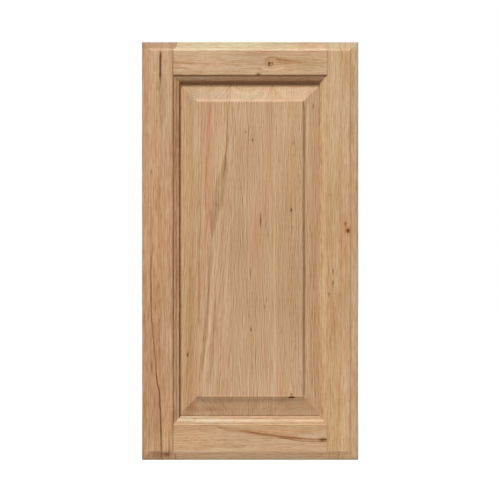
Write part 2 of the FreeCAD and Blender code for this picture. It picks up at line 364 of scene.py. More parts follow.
# %% Fibres
streak_size = (1.8, 1.8, 20)
streak_swing = 0.85
hair_size = (1.15, 1.15, 24)
hair_swing = 0.95
long_line_size = (2.6, 2.6, 85)
long_line_swing = 0.25
line_distance = 3.5
line_swing = 1.55
line_sway = 5.0
sway_size = (9, 9, 26)
line_life_size = (5, 5, 30)
coarse_loss = -0.9


def even_lines(tree, place):
    """Thin lines at nearly even distances, about zero, that sway and come and go."""
    across = add(tree, "SeparateXYZ", {0: place}).outputs[0]
    sway = noise(tree, place, sway_size, detail=0.0)
    turn = math_node(tree, "MULTIPLY", across, math.tau / line_distance)
    turn = math_node(tree, "MULTIPLY_ADD", sway, line_sway, turn)
    wave = math_node(tree, "SINE", turn)
    strength = about_zero(tree, noise(tree, place, line_life_size, detail=0.0), line_swing)
    return math_node(tree, "MULTIPLY", wave, strength)


def coarse_share(tree, fineness):
    """How much of the coarse figure stays: all of it at fineness 0 and a tenth at 1."""
    return math_node(tree, "MULTIPLY_ADD", fineness, coarse_loss, 1.0)


def fibres(tree, place, fineness):
    """Light and dark streaks along the grain, about zero. Fineness turns them into thin even lines."""
    streaks = about_zero(tree, noise(tree, place, streak_size, roughness=0.6), streak_swing)
    hairs = about_zero(tree, noise(tree, place, hair_size, detail=1.0), hair_swing)
    lines = about_zero(tree, noise(tree, place, long_line_size, detail=1.0), long_line_swing)
    coarse = math_node(tree, "ADD", streaks, hairs)
    coarse = math_node(tree, "MULTIPLY", coarse, coarse_share(tree, fineness))
    total = math_node(tree, "MULTIPLY_ADD", even_lines(tree, place), fineness, coarse)
    return math_node(tree, "ADD", total, lines)


# %% [markdown]
# Pores are the short dark dashes that open-grained wood is full of. Drawing each one would take thousands of
# marks. Fine noise, stretched along the grain, has them already: only its peaks are kept. Slow noise then
# makes some bands of the board lighter than others.

# %% Pores and bands
pore_size = (0.6, 0.6, 10)
pore_level = 0.62
pore_contrast = 7.0
more_in_early_wood = 0.12
narrow_band_size = (6, 6, 130)
narrow_band_swing = 0.45
wide_band_size = (24, 24, 230)
wide_band_swing = 0.55


def pores(tree, place, early):
    """Short dark dashes, most of them in the early wood, between 0 and 1."""
    fine = noise(tree, place, pore_size, detail=1.0)
    level = math_node(tree, "MULTIPLY_ADD", early, more_in_early_wood, fine)
    above = math_node(tree, "SUBTRACT", level, pore_level)
    return math_node(tree, "MULTIPLY", above, pore_contrast, clamp=True)


def bands(tree, place, fineness):
    """Slow changes of tone across the board, about zero."""
    narrow = about_zero(tree, noise(tree, place, narrow_band_size), narrow_band_swing)
    narrow = math_node(tree, "MULTIPLY", narrow, coarse_share(tree, fineness))
    wide = about_zero(tree, noise(tree, place, wide_band_size), wide_band_swing)
    return math_node(tree, "ADD", narrow, wide)


# %% [markdown]
# The group puts these together. Where a surface is cut across the grain, as on the panel's bevels and the
# ends of the stiles, the fibres are seen end on and fade, and the rings stand out. The group hands back how
# light the wood is, how far its hue leans to red or to olive, and how high its surface stands, for the bump.
# Seven copies of the network would give the same look, but one group is changed in one place.

# %% The wood pattern
plain_light = 1.07
pore_shade = -0.34
ring_shade = -0.20
ring_shade_across = -0.16
fine_ring_change = 0.12
fibres_lost_across = -0.75
across_light = 0.03
across_contrast = 3.0
narrow_hue_size = (9, 9, 160)
narrow_hue_swing = 1.5
broad_hue_size = (30, 30, 190)
broad_hue_swing = 1.6


def write_wood_pattern():
    """The node group that every board uses."""
    group = bpy.data.node_groups.new("solid wood", "ShaderNodeTree")
    sockets = group.interface
    for name in ("Place", "Seed", "Grain", "Pith"):
        sockets.new_socket(name, in_out="INPUT", socket_type="NodeSocketVector")
    for name in ("Lean", "Ring width", "Wander", "Figure", "Fineness", "Facing"):
        sockets.new_socket(name, in_out="INPUT", socket_type="NodeSocketFloat")
    for name in ("Light", "Hue", "Height"):
        sockets.new_socket(name, in_out="OUTPUT", socket_type="NodeSocketFloat")

    given = group.nodes.new("NodeGroupInput").outputs
    fineness = given["Fineness"]
    place = vector_node(group, "ADD", given["Place"], given["Seed"])
    fibre_place = vector_node(group, "MULTIPLY", place, given["Grain"])
    early = growth_rings(group, given["Place"], place, given)
    open_pores = pores(group, fibre_place, early)
    streaks = fibres(group, fibre_place, fineness)

    cut_across = math_node(group, "MULTIPLY", given["Facing"], across_contrast, clamp=True)
    fibre_share = math_node(group, "MULTIPLY_ADD", cut_across, fibres_lost_across, 1.0)
    flat_share = math_node(group, "MULTIPLY_ADD", fineness, fine_ring_change, ring_shade)
    more_across = math_node(group, "MULTIPLY_ADD", fineness, -fine_ring_change, ring_shade_across)
    ring_share = math_node(group, "MULTIPLY_ADD", cut_across, more_across, flat_share)

    light = math_node(group, "MULTIPLY", streaks, fibre_share)
    light = math_node(group, "ADD", light, bands(group, place, fineness))
    light = math_node(group, "MULTIPLY_ADD", early, ring_share, light)
    light = math_node(group, "MULTIPLY_ADD", open_pores, pore_shade, light)
    light = math_node(group, "MULTIPLY_ADD", cut_across, across_light, light)
    light = math_node(group, "MULTIPLY", light, given["Figure"])
    light = math_node(group, "ADD", light, plain_light)

    narrow_hue = about_zero(group, noise(group, place, narrow_hue_size), narrow_hue_swing)
    broad_hue = about_zero(group, noise(group, place, broad_hue_size, detail=1.0), broad_hue_swing)
    hue = math_node(group, "ADD", narrow_hue, broad_hue)
    height = math_node(group, "MULTIPLY_ADD", open_pores, -1.0, streaks)

    result = group.nodes.new("NodeGroupOutput").inputs
    group.links.new(light, result["Light"])
    group.links.new(hue, result["Hue"])
    group.links.new(height, result["Height"])
    return group


wood_pattern = write_wood_pattern()
print("wood pattern:", len(wood_pattern.nodes), "nodes")

# %% [markdown]
# ## Marks that the wood grew with, and painted light and shade
#
# No two boards are alike, and people know a door by its knots. A mark never covers the wood: the figure
# shows through it, as it does through a stain. So a tint is no colour of its own. It is three shares that
# the wood's red, green and blue are multiplied by, and above one it makes them lighter. Some tints are
# painted light and shade: highlights where slopes and noses face the lamp, shade under the top rail's
# moulding, and grey shade along the door's rim.

# %% Tints
burnt = (0.34, 0.20, 0.07)
walnut = (0.55, 0.42, 0.24)
black_brown = (0.20, 0.11, 0.06)
dark_brown = (0.36, 0.25, 0.15)
brown = (0.62, 0.50, 0.37)
tan = (0.82, 0.74, 0.62)
olive = (0.84, 0.87, 0.80)
reddish = (1.00, 0.86, 0.80)
mauve = (0.86, 0.80, 0.84)
pinkish = (1.06, 1.00, 1.04)
# Both the wood's own paler tone and painted light on some slopes and at the panel's lower end.
pale = (1.14, 1.17, 1.20)
straw = (1.08, 1.05, 0.95)
# A painted highlight, cream, for the top rail's upward top slope.
cream_highlight = (1.08, 1.22, 1.30)
# The next seven tints paint light and shade: grey shade along the door's rim, sheen on the panel's upward top
# bevels, light that lifts the shade in the cove under the field, highlights along edges and on the noses of
# mouldings that face the lamp, and shade along the door's foot.
rim_shade = (0.88, 1.02, 1.18)
lit_slope = (1.07, 1.19, 1.29)
cool_slope_sheen = (0.95, 1.06, 1.18)
lit_cove = (1.27, 1.27, 1.25)
highlight_line = (1.06, 1.12, 1.22)
lit_nose = (1.13, 1.16, 1.30)
foot_shade = (0.78, 0.90, 1.04)
streak_brown = (0.78, 0.73, 0.65)
fresh = (1.06, 1.12, 1.12)
orange = (1.02, 0.97, 0.90)
foot_stain = (0.84, 0.77, 0.69)
toasted = (0.83, 0.84, 0.82)
# A painted shade, reddish, for the underside of the top rail's moulding.
rosy_shade = (0.99, 0.88, 0.93)
washed = (1.08, 1.12, 1.18)
tanned = (0.90, 0.85, 0.80)
reddish_brown = (0.80, 0.62, 0.52)
# A painted shade, for the underside of the top rail's moulding and the shadow that it casts on the panel.
shaded = (0.50, 0.37, 0.25)
# Both a paler tone of the wood and a painted highlight on mouldings and top slopes that face the lamp.
pale_tone_and_highlight = (0.97, 1.07, 1.15)
# These two serve both as the wood's own tone and, in bands along mouldings and edges, as painted light and
# shade.
fair = (1.10, 1.09, 1.08)
dull = (0.93, 0.91, 0.90)
print("tints from", black_brown, "to", cream_highlight)

# %% [markdown]
# A mark is a soft oval in the wood, so many millimetres across and up from the middle of the door's face,
# with a half width, a half height, a tint, an amount and a lean. It goes as deep as it is told, so that it
# also tints the slopes of a moulding. Each mark could be a small picture, but an oval needs a few numbers
# and is smooth from close by.

# %% Ovals
mark_depth = 30
mark_strength = 1.6
Mark = namedtuple("Mark", "across up wide high tint amount lean depth", defaults=(1.0, 0, mark_depth))


def oval(tree, place, across, up, wide, high, lean=0, depth=mark_depth):
    """1 at the middle of an oval, falling to 0 at its rim."""
    face = solid_box[0][1] / metres_per_millimetre
    inputs = {
        "Vector": place,
        "Location": (across, face, up),
        "Rotation": (0, math.radians(lean), 0),
        "Scale": (wide, depth, high),
    }
    inside = add(tree, "Mapping", inputs, vector_type="TEXTURE").outputs[0]
    return add(tree, "TexGradient", {0: inside}, gradient_type="SPHERICAL").outputs["Fac"]


def tint_by(tree, colour, mask, tint):
    """Multiplies the colour by the tint where the mask is 1."""
    inputs = {0: mask, 6: colour, 7: (*tint, 1)}
    return add(tree, "Mix", inputs, data_type="RGBA", blend_type="MULTIPLY").outputs[2]


def add_mark(tree, colour, place, mark):
    """Tints the wood in an oval. Most ovals are stains, and a few paint light."""
    shape = oval(tree, place, mark.across, mark.up, mark.wide, mark.high, mark.lean, mark.depth)
    mask = math_node(tree, "MULTIPLY", shape, mark_strength * mark.amount, clamp=True)
    return tint_by(tree, colour, mask, mark.tint)


# %% [markdown]
# A vein is a thin line that wanders along the grain through a few places. A row of ovals would look like
# beads, so a curve node bends one line through the places, smooth however few they are. A mineral streak is
# a broad vein in the shape of a lens: it swells half way and comes to a point at both ends.

# %% Veins
vein_strength = 1.4
thinnest_vein = 0.1
least_room = 0.1
depth_fade = 0.3
Vein = namedtuple(
    "Vein",
    "route wide tint amount level depth taper lens",
    defaults=(1.0, False, 40, 10, False),
)


def route_curve(tree, along, route):
    """How far across a smooth line lies, for each place along it, and the share of the route done there."""
    start = route[0][0]
    end = route[-1][0]
    lowest = min(across for _, across in route)
    highest = max(across for _, across in route)
    room = max(highest - lowest, least_room)
    share = math_node(tree, "DIVIDE", math_node(tree, "SUBTRACT", along, start), end - start)
    bend = tree.nodes.new("ShaderNodeFloatCurve")
    points = bend.mapping.curves[0].points
    spots = [((spot - start) / (end - start), (across - lowest) / room) for spot, across in route]
    points[0].location = spots[0]
    points[1].location = spots[-1]
    for spot in spots[1:-1]:
        points.new(*spot)
    bend.mapping.update()
    tree.links.new(share, bend.inputs["Value"])
    return math_node(tree, "MULTIPLY_ADD", bend.outputs[0], room, lowest), share


def add_vein(tree, colour, place, vein):
    """Draws a line of tint along a route, fading out at both ends and below its depth: a stain or a band of
    painted light and shade.
    """
    parts = add(tree, "SeparateXYZ", {0: place}).outputs
    across, along = (parts[2], parts[0]) if vein.level else (parts[0], parts[2])
    route = sorted((spot[0], spot[1]) if vein.level else (spot[1], spot[0]) for spot in vein.route)
    middle, share = route_curve(tree, along, route)
    off = math_node(tree, "ABSOLUTE", math_node(tree, "SUBTRACT", across, middle))
    ends = math_node(tree, "MULTIPLY", share, math_node(tree, "SUBTRACT", 1.0, share))
    wide = vein.wide
    if vein.lens:
        # Half way, ends is a quarter, so four times that swells the line to its full width.
        swell = math_node(tree, "MULTIPLY", ends, 4.0 * vein.wide)
        wide = math_node(tree, "MAXIMUM", swell, thinnest_vein)
    line = math_node(tree, "SUBTRACT", 1.0, math_node(tree, "DIVIDE", off, wide))
    ends = math_node(tree, "MULTIPLY", ends, vein.taper, clamp=True)
    mask = math_node(tree, "MULTIPLY", math_node(tree, "MAXIMUM", line, 0.0), ends)
    deepest = solid_box[0][1] / metres_per_millimetre + vein.depth
    left_below = math_node(tree, "SUBTRACT", deepest, parts[1])
    near = math_node(tree, "MULTIPLY", left_below, depth_fade, clamp=True)
    mask = math_node(tree, "MULTIPLY", mask, near)
    mask = math_node(tree, "MULTIPLY", mask, vein_strength * vein.amount, clamp=True)
    return tint_by(tree, colour, mask, vein.tint)


# %% [markdown]
# Along the mouldings and at the door's ends, bands paint light and shade along the whole edge: lighter where
# a slope or a nose faces the lamp, darker where it looks away or lies in shadow, and grey at the rim. A few
# bands are the wood's own tone instead, such as the darker end grain at the top of the left stile. A straight
# vein does for all of them. It is so common that it gets two short names: a band that runs level across a
# piece, and one that runs up it. Both lie near the face only.

# %% Bands of tone
band_depth = 16
band_taper = 60


def level_band(up, wide, tint, amount, start=-240, end=240):
    """A band across a piece at one height, near its face."""
    return Vein(((start, up), (end, up)), wide, tint, amount, True, band_depth, band_taper)


def upright_band(across, wide, tint, amount, foot=-400, head=400):
    """A band up a piece at one place across, near its face."""
    return Vein(((across, foot), (across, head)), wide, tint, amount, False, band_depth, band_taper)


# Painted shade along the door's foot: a duller band on the lower slope, which looks down, and a grey line at
# its rim.
foot_bands = (
    level_band(-310.3, 4.0, dull, 1.0),
    level_band(-313.6, 2.6, foot_shade, 1.0),
)
print("bands along the foot of the door:", len(foot_bands))

# %% [markdown]
# Grain flows round a knot as water flows round a stone. Pushing the fibres away from the knot's middle
# before the pattern is worked out does just that, and it costs one oval. A rail lies level, so its place is
# turned by a quarter as well, and its grain runs along it.

# %% Grain flow
Knot = namedtuple("Knot", "across up wide high swell")


def part_round_knot(tree, place, knot, level):
    """Spreads the grain on both sides of a knot."""
    shape = oval(tree, place, knot.across, knot.up, knot.wide, knot.high)
    centre = (knot.across, 0, knot.up)
    offset = vector_node(tree, "SUBTRACT", place, centre)
    sideways = vector_node(tree, "MULTIPLY", offset, (0, 0, knot.swell) if level else (knot.swell, 0, 0))
    push = add(tree, "VectorMath", {0: sideways, "Scale": shape}, operation="SCALE").outputs[0]
    return vector_node(tree, "SUBTRACT", place, push)


def lean_with_route(tree, place, route):
    """Makes upright grain follow a route that bends sideways."""
    parts = add(tree, "SeparateXYZ", {0: place}).outputs
    middle, _ = route_curve(tree, parts[2], sorted((up, across) for across, up in route))
    shift = add(tree, "CombineXYZ", {0: middle}).outputs[0]
    return vector_node(tree, "SUBTRACT", place, shift)


def lay_grain(tree, place, board):
    """The place as the grain runs: round the knots, along the flow, and turned where the board lies level."""
    for knot in board.knots:
        place = part_round_knot(tree, place, knot, board.level)
    if board.flow:
        place = lean_with_route(tree, place, board.flow)
    turned = math.radians(-90) if board.level else 0
    return add(tree, "Mapping", {"Vector": place, "Rotation": (0, turned, 0)}).outputs[0]


# %% [markdown]
# ## From pattern to board
#
# The pattern only says how light the wood is and how its hue leans. Pale wood isn't just brighter than dark
# wood, it is also less warm, so the light is multiplied in with a little more blue and a little less red
# where it is above one. The marks are tinted in on top: stains, and bands of painted light and shade. Their
# edges wobble with the grain, because stain creeps along the fibres, and a clean oval would look printed.

# %% Colour and stain
full_red = (1.025, 0.975, 0.95, 1)
full_olive = (0.975, 1.02, 0.98, 1)
cooler_when_light = (-0.42, 0, 0.58)
creep_size = (3, 3, 9)
creep = (1.6, 0, 1.6)


def wood_colour(tree, pattern, colour):
    """The pattern's light and hue in the board's own colour."""
    hue = math_node(tree, "ADD", pattern["Hue"], 0.5, clamp=True)
    tone = mix_colours(tree, hue, full_olive, full_red)
    shade = math_node(tree, "SUBTRACT", pattern["Light"], 1.0)
    warmth = vector_node(tree, "MULTIPLY_ADD", shade, cooler_when_light, (1, 1, 1))
    light = vector_node(tree, "MULTIPLY", warmth, pattern["Light"])
    return vector_node(tree, "MULTIPLY", vector_node(tree, "MULTIPLY", light, tone), colour)


def tint_marks(tree, colour, place, grain_place, marks):
    """Tints the marks in, one after the other: stains, and bands of painted light and shade."""
    wobble = noise_about_zero(tree, grain_place, creep_size)
    wobbled_place = vector_node(tree, "ADD", place, vector_node(tree, "MULTIPLY", wobble, creep))
    for mark in marks:
        draw = add_vein if isinstance(mark, Vein) else add_mark
        colour = draw(tree, colour, wobbled_place, mark)
    return colour


def linear(red, green, blue):
    """Turns a colour as a screen shows it, 0 to 255, into the light that it stands for."""
    shares = [channel / 255 for channel in (red, green, blue)]
    return tuple(((share + 0.055) / 1.055) ** 2.4 for share in shares)


# %% [markdown]
# A board's material puts all this together. End grain soaks up light, so the wood is darkened wherever its
# surface faces along the grain. The pores are cut open on every face, so the pattern's height drives a small
# bump, and the finish lies thicker in the hollows, which makes them a little glossier. What makes one board
# unlike the next is kept in one record for each, with usual values for what most boards share.

# %% Make a board's material
Board = namedtuple(
    "Board",
    "colour pith ring_width wander fineness end_grain marks grain lean figure seed level knots flow",
    defaults=((1, 1, 1), 0.0, 1.0, (0, 0, 0), False, (), ()),
)
end_grain_tint = (0.50, 0.50, 0.56)
end_grain_slope = 1.6
wood_specular = 0.2
wood_roughness = 0.47
roughness_swing = 0.18
bump_distance = 0.00011
bump_strength = 0.7


def end_on(tree, facing, level):
    """1 where a surface faces along the grain, as the ends of a board do, and 0 along its sides."""
    grain_way = (1, 0, 0) if level else (0, 0, 1)
    share = add(tree, "VectorMath", {0: facing, 1: grain_way}, operation="DOT_PRODUCT").outputs["Value"]
    return math_node(tree, "ABSOLUTE", share)


def board_material(name, board):
    """The finished wood of one piece."""
    material, tree, shader = new_material(name)
    place, normal = place_and_facing(tree)
    grain_place = lay_grain(tree, place, board)
    facing = end_on(tree, normal, board.level)
    inputs = {"Place": grain_place, "Facing": facing}
    for setting in ("Seed", "Grain", "Pith", "Lean", "Ring width", "Wander", "Figure", "Fineness"):
        inputs[setting] = getattr(board, setting.lower().replace(" ", "_"))
    pattern = add(tree, "Group", inputs, node_tree=wood_pattern).outputs

    colour = wood_colour(tree, pattern, board.colour)
    colour = tint_marks(tree, colour, place, grain_place, board.marks)
    steep = math_node(tree, "MULTIPLY_ADD", facing, end_grain_slope, 1.0 - end_grain_slope, clamp=True)
    end_share = math_node(tree, "MULTIPLY", steep, board.end_grain)
    colour = tint_by(tree, colour, end_share, end_grain_tint)
    tree.links.new(colour, shader.inputs["Base Color"])

    rough = math_node(tree, "MULTIPLY_ADD", pattern["Height"], roughness_swing, wood_roughness)
    tree.links.new(rough, shader.inputs["Roughness"])
    shader.inputs["Specular IOR Level"].default_value = wood_specular
    inputs = {"Height": pattern["Height"], "Distance": bump_distance, "Strength": bump_strength}
    tree.links.new(add(tree, "Bump", inputs).outputs[0], shader.inputs["Normal"])
    return material


def dress(node, material):
    """Gives a piece of the model its material."""
    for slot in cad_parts[node].material_slots:
        slot.material = material
    print(f"{node}: {material.name}, {len(material.node_tree.nodes)} nodes")


# %% [markdown]
# ## The left stile
#
# One straight-grained board, as high as the door. A long thin vein starts half way up and wanders down to
# the foot, and near the top is an open shake. The shake could be a dark mark, but it is a real gap in the
# model, so that light falls into it, and the stain only darkens its walls. The vein has to stay thin and
# sharp, so it is drawn along a route of given places and isn't left to noise.

# %% Dress the left stile
# Painted grey shade along the top rim, and the foot's painted shade.
stile_end_bands = (level_band(313.6, 1.8, rim_shade, 0.8), *foot_bands)
left_stile_marks = [
    Vein(((-135.1, 303.5), (-135.3, 288.0), (-135.5, 258.0)), 2.3, burnt, 0.9, False, 8, 7),
    Mark(-135.3, 262.0, 1.9, 20.0, brown, 1.0),
    Mark(-131.5, 232.0, 7.0, 75.0, olive, 0.6, -1),
    Mark(-125.0, 277.0, 5.5, 34.0, orange, 0.9),
    Mark(-149.5, 119.2, 1.5, 7.0, brown, 0.9),
    Vein(((-149.5, 137.0), (-150.0, -28.6), (-149.5, -60.0)), 1.7, tan, 0.8),
    Vein(((-150.0, 10.0), (-149.8, -40.0), (-148.9, -92.0), (-147.7, -111.6), (-144.1, -149.3),
          (-140.6, -194.5), (-136.8, -217.2), (-135.8, -238.3), (-134.9, -259.4), (-134.0, -291.1),
          (-133.3, -330.0)), 1.7, brown, 1.0),
    Vein(((-142.0, -170.0), (-140.6, -194.5), (-136.8, -217.2), (-135.8, -238.3), (-134.9, -259.4),
          (-134.0, -291.1), (-131.8, -312.0)), 1.2, walnut, 0.8, False, 8),
    Mark(-148.5, -173.0, 1.6, 16.0, brown, 0.8),
    Mark(-141.0, -246.0, 7.0, 48.0, mauve, 0.7),
    Mark(-125.5, -250.0, 8.0, 70.0, straw, 0.8),
    Mark(-123.1, -306.0, 2.2, 9.0, brown, 0.9),
    # Painted shade: two dark lines down the moulding, where its steps look away from the lamp.
    upright_band(-115.6, 1.6, walnut, 0.9, -268, 275),
    upright_band(-106.9, 1.6, burnt, 0.85, -258, 262),
    # Painted grey shade along the outer rim.
    upright_band(-162.0, 2.4, rim_shade, 1.0),
    *stile_end_bands,
    Mark(-139.0, -200.0, 30.0, 150.0, dull, 1.0),
    Mark(-139.0, 50.0, 40.0, 150.0, orange, 0.5),
    Mark(-150.0, 130.0, 16.0, 70.0, washed, 0.6),
    Mark(-150.0, -130.0, 16.0, 110.0, tanned, 0.4),
    Mark(-140.0, -232.0, 34.0, 26.0, washed, 0.5),
    level_band(311.0, 9.0, toasted, 1.0),
    # Painted highlight along the cove of the top edge.
    level_band(304.6, 1.8, highlight_line, 0.8),
    Mark(-138.0, -309.0, 20.0, 10.0, foot_stain, 1.0, 0, 14),
    Mark(-127.0, -307.0, 6.0, 5.0, brown, 0.9, 30, 14),
]
left_stile = Board(
    colour=linear(188, 146, 110),
    pith=(-260.0, 70.0, 0.0),
    ring_width=3.3,
    wander=9.0,
    fineness=0.0,
    end_grain=0.55,
    marks=left_stile_marks,
)
dress("left_stile", board_material("left_stile_wood", left_stile))

# %% [markdown]
# ## The right stile
#
# Two knots lie close together near its outer edge, the lower one open, and the wood below them is redder.
# The grain is led round both before they are stained in, because a dark oval on straight grain looks painted
# on. Its fibres are a little finer than those of the left stile.

# %% Dress the right stile
right_stile_knots = (
    Knot(147.5, 31.3, 9.0, 22.0, 0.55),
    Knot(143.6, 41.5, 6.0, 14.0, 0.45),
)
right_stile_marks = [
    Mark(139.0, 0.0, 17.0, 75.0, reddish, 0.4),
    Mark(147.5, 31.3, 6.5, 11.0, reddish, 0.9),
    Mark(147.6, 31.0, 5.2, 6.4, brown, 1.0),
    Mark(147.6, 29.6, 2.8, 3.2, dark_brown, 0.8),
    Mark(143.9, 41.3, 2.4, 4.4, brown, 0.9),
    Mark(125.2, -48.5, 1.9, 6.0, brown, 1.0),
    Mark(124.8, -30.5, 1.6, 6.5, brown, 1.0),
    Mark(118.9, -65.5, 1.7, 5.0, brown, 0.9),
    Mark(125.0, -89.0, 3.0, 42.0, reddish, 0.9),
    Mark(144.6, -145.0, 8.0, 40.0, reddish, 0.7),
    Mark(150.7, 182.0, 2.5, 60.0, mauve, 0.8),
    Mark(112.0, -5.0, 5.5, 330.0, straw, 0.35),
    # Painted highlight on the moulding's nose, painted light on the outer slope and beside the outer step, a
    # painted shade line at the step, and painted grey shade along the rim.
    upright_band(106.3, 1.8, lit_nose, 0.8, -262, 262),
    upright_band(157.0, 7.0, pale, 0.5),
    upright_band(149.7, 1.5, fair, 1.0),
    upright_band(151.5, 1.3, dull, 1.0),
    upright_band(161.2, 3.6, rim_shade, 0.8),
    *stile_end_bands,
    # Painted highlight on the upward top slope, and painted light on the top and lower slopes.
    level_band(310.0, 9.0, pale_tone_and_highlight, 1.0),
    Mark(140.0, 309.0, 32.0, 10.0, pale, 0.35),
    level_band(-308.0, 7.0, pale, 0.5),
    Mark(136.0, 215.0, 40.0, 100.0, pale_tone_and_highlight, 0.35),
    Mark(136.0, 35.0, 40.0, 130.0, dull, 0.6),
    Mark(133.0, -88.0, 34.0, 80.0, tanned, 0.9),
    Mark(137.0, -282.0, 28.0, 40.0, washed, 0.7),
    Mark(147.0, 190.0, 10.0, 170.0, washed, 0.9),
    Mark(109.2, -242.8, 1.4, 9.0, brown, 0.9),
]
right_stile = Board(
    colour=linear(192, 154, 114),
    pith=(250.0, 90.0, 0.0),
    ring_width=3.4,
    wander=9.0,
    fineness=0.3,
    end_grain=0.3,
    marks=right_stile_marks,
    figure=1.05,
    seed=(0, 0, 900),
    knots=right_stile_knots,
)
dress("right_stile", board_material("right_stile_wood", right_stile))

# %% [markdown]
# ## The top rail
#
# Its grain lies level and ripples, and it is the palest piece of the frame. Brown wood fans out of a round
# knot in it. The knot is built up as it grew: a dark heart, pale wood round it, a brown arc over that and a
# tail on its right. One spot of a single colour would be simpler, but the arc and the tail are what the eye
# finds first.

# %% Dress the top rail
top_rail_knots = (Knot(30.5, 283.5, 26.0, 15.0, 0.6),)
top_rail_marks = [
    Mark(33.0, 283.4, 15.0, 10.5, tan, 0.7),
    Mark(34.5, 282.0, 9.0, 6.8, pale, 1.0),
    Mark(28.8, 282.6, 2.8, 5.4, brown, 1.0),
    Mark(28.7, 282.2, 2.0, 4.0, dark_brown, 0.8),
    Mark(33.8, 283.2, 2.3, 3.4, brown, 1.0),
    Mark(31.2, 279.8, 4.0, 1.6, brown, 0.6),
    Vein(((20.0, 280.0), (22.5, 285.0), (26.0, 290.0), (32.0, 292.4), (38.0, 291.8), (43.5, 288.5),
          (47.0, 283.0)), 2.4, tan, 1.0, True),
    Mark(52.0, 286.5, 17.0, 6.5, tan, 1.0, 6),
    Vein(((38.0, 291.0), (50.0, 288.5), (64.0, 286.0), (80.0, 285.0)), 2.6, tan, 1.0, True),
    Mark(18.0, 274.0, 10.0, 5.0, reddish, 0.6),
    Vein(((16.0, 278.5), (30.0, 273.0), (42.0, 274.0), (52.0, 280.0)), 3.4, pale, 0.9, True),
    Mark(12.6, 266.8, 5.4, 3.2, brown, 0.8),
    Mark(12.6, 266.4, 3.2, 2.0, dark_brown, 0.4),
    Mark(92.0, 283.0, 34.0, 16.0, olive, 0.7),
    # Painted highlight, cream, on the upward top slope and its cove, and painted grey shade along the rim.
    level_band(310.5, 8.6, cream_highlight, 1.0, -240, 76),
    level_band(305.6, 3.4, cream_highlight, 0.7),
    level_band(304.6, 1.8, highlight_line, 0.9),
    level_band(313.6, 1.8, rim_shade, 0.6),
    Mark(60.0, 284.0, 60.0, 22.0, orange, 0.6),
    # Painted shade on the underside of the moulding, which looks away from the lamp, reddish in its middle.
    level_band(264.4, 2.4, shaded, 0.8),
    level_band(259.6, 4.5, rosy_shade, 0.9),
    level_band(255.7, 3.7, shaded, 0.9),
    Mark(-70.0, 286.0, 50.0, 22.0, fair, 0.7),
    Mark(12.0, 290.0, 60.0, 22.0, dull, 0.8),
    Mark(105.0, 286.0, 26.0, 22.0, fair, 0.5),
]
top_rail = Board(
    colour=linear(193, 157, 120),
    pith=(-330.0, 55.0, 0.0),
    ring_width=3.2,
    wander=12.0,
    fineness=0.2,
    end_grain=0.4,
    marks=top_rail_marks,
    grain=(1.25, 1.25, 1.4),
    level=True,
    knots=top_rail_knots,
)
dress("top_rail", board_material("top_rail_wood", top_rail))

# %% [markdown]
# ## The bottom rail
#
# A long brown vein sinks to the right and ends in a dark patch. A stain is dark along a few fibres and pale
# between them, so the vein is two thin dark routes over two broad soft ones. One broad route alone would
# look like a shadow.

# %% Dress the bottom rail
bottom_rail_marks = [
    Mark(40.0, -271.0, 75.0, 10.0, reddish, 0.8, 3),
    Vein(((-60.0, -262.0), (-45.0, -266.0), (-27.3, -270.7), (-7.7, -272.2), (17.9, -276.8), (48.1, -280.5),
          (75.2, -284.3), (93.3, -285.8), (118.0, -285.4)), 3.2, tan, 1.0, True),
    Vein(((-10.0, -272.2), (17.9, -275.8), (48.1, -279.8), (75.2, -282.2), (95.0, -283.6), (118.0, -283.6)),
         1.3, brown, 1.0, True),
    Vein(((40.0, -281.0), (60.0, -284.0), (75.2, -286.6), (95.0, -287.8), (118.0, -286.8)),
         1.1, brown, 0.9, True),
    Vein(((-25.0, -270.0), (10.0, -274.5), (48.1, -279.0), (80.0, -283.0)), 5.5, reddish_brown, 0.5, True),
    Mark(110.5, -285.0, 9.5, 4.8, walnut, 1.0),
    Mark(84.0, -274.0, 26.0, 6.0, olive, 0.6),
    # Painted highlight on the moulding, which faces up to the lamp, and a duller band on the face just under
    # it.
    level_band(-254.5, 7.0, pale_tone_and_highlight, 1.0),
    level_band(-251.6, 1.6, lit_nose, 0.4),
    level_band(-255.4, 3.0, fair, 1.0),
    level_band(-266.0, 4.0, dull, 1.0),
    # Painted light on the cove of the lower edge, then the painted shade of the foot.
    level_band(-304.8, 3.6, fair, 1.0),
    *foot_bands,
    # A duller line at the moulding's outer edge, and more painted highlight on its left half.
    level_band(-261.5, 2.0, dull, 1.0),
    Mark(-75.0, -256.0, 70.0, 8.0, pale_tone_and_highlight, 1.0, 0, 20),
    Mark(-90.0, -285.0, 60.0, 26.0, fair, 0.8),
]
bottom_rail = Board(
    colour=linear(190, 152, 115),
    pith=(330.0, 60.0, 0.0),
    ring_width=3.3,
    wander=12.0,
    fineness=0.3,
    end_grain=0.4,
    marks=bottom_rail_marks,
    grain=(1.4, 1.4, 1.4),
    seed=(0, 0, 700),
    level=True,
)
dress("bottom_rail", board_material("bottom_rail_wood", bottom_rail))

# %% [markdown]
# ## The panel
#
# Three boards are glued edge to edge. Each has a pith and a colour of its own, so that the joints show as a
# change of figure. The shade and light of the panel's raise are painted across all three, so those bands of
# painted shade and light are written once.

# %% Bands of the raised panel
# Painted shadow where the top rail's moulding shades the panel, painted light on the bevel's lower end, and a
# painted shade line under the lower moulding.
panel_end_bands = (
    level_band(252.3, 2.7, shaded, 1.0),
    level_band(-245.5, 5.0, pale, 1.0),
    level_band(-249.9, 1.3, dull, 1.0),
)


def field_end_bands(left, right):
    """Painted light that lifts the shade in the cove at the field's lower end, and a painted highlight along
    the edge at its upper end.
    """
    return (
        level_band(-220.4, 3.6, lit_cove, 1.0, left, right),
        level_band(227.4, 1.8, highlight_line, 0.5, left, right),
    )


print("bands at the panel's ends:", len(panel_end_bands))

# %% [markdown]
# A broad grey-brown mineral streak bends down through the left board, and its grain bends with it. The
# streak swells and narrows, so it is a vein in the shape of a lens. Thinner veins lead into it and carry on
# below it.

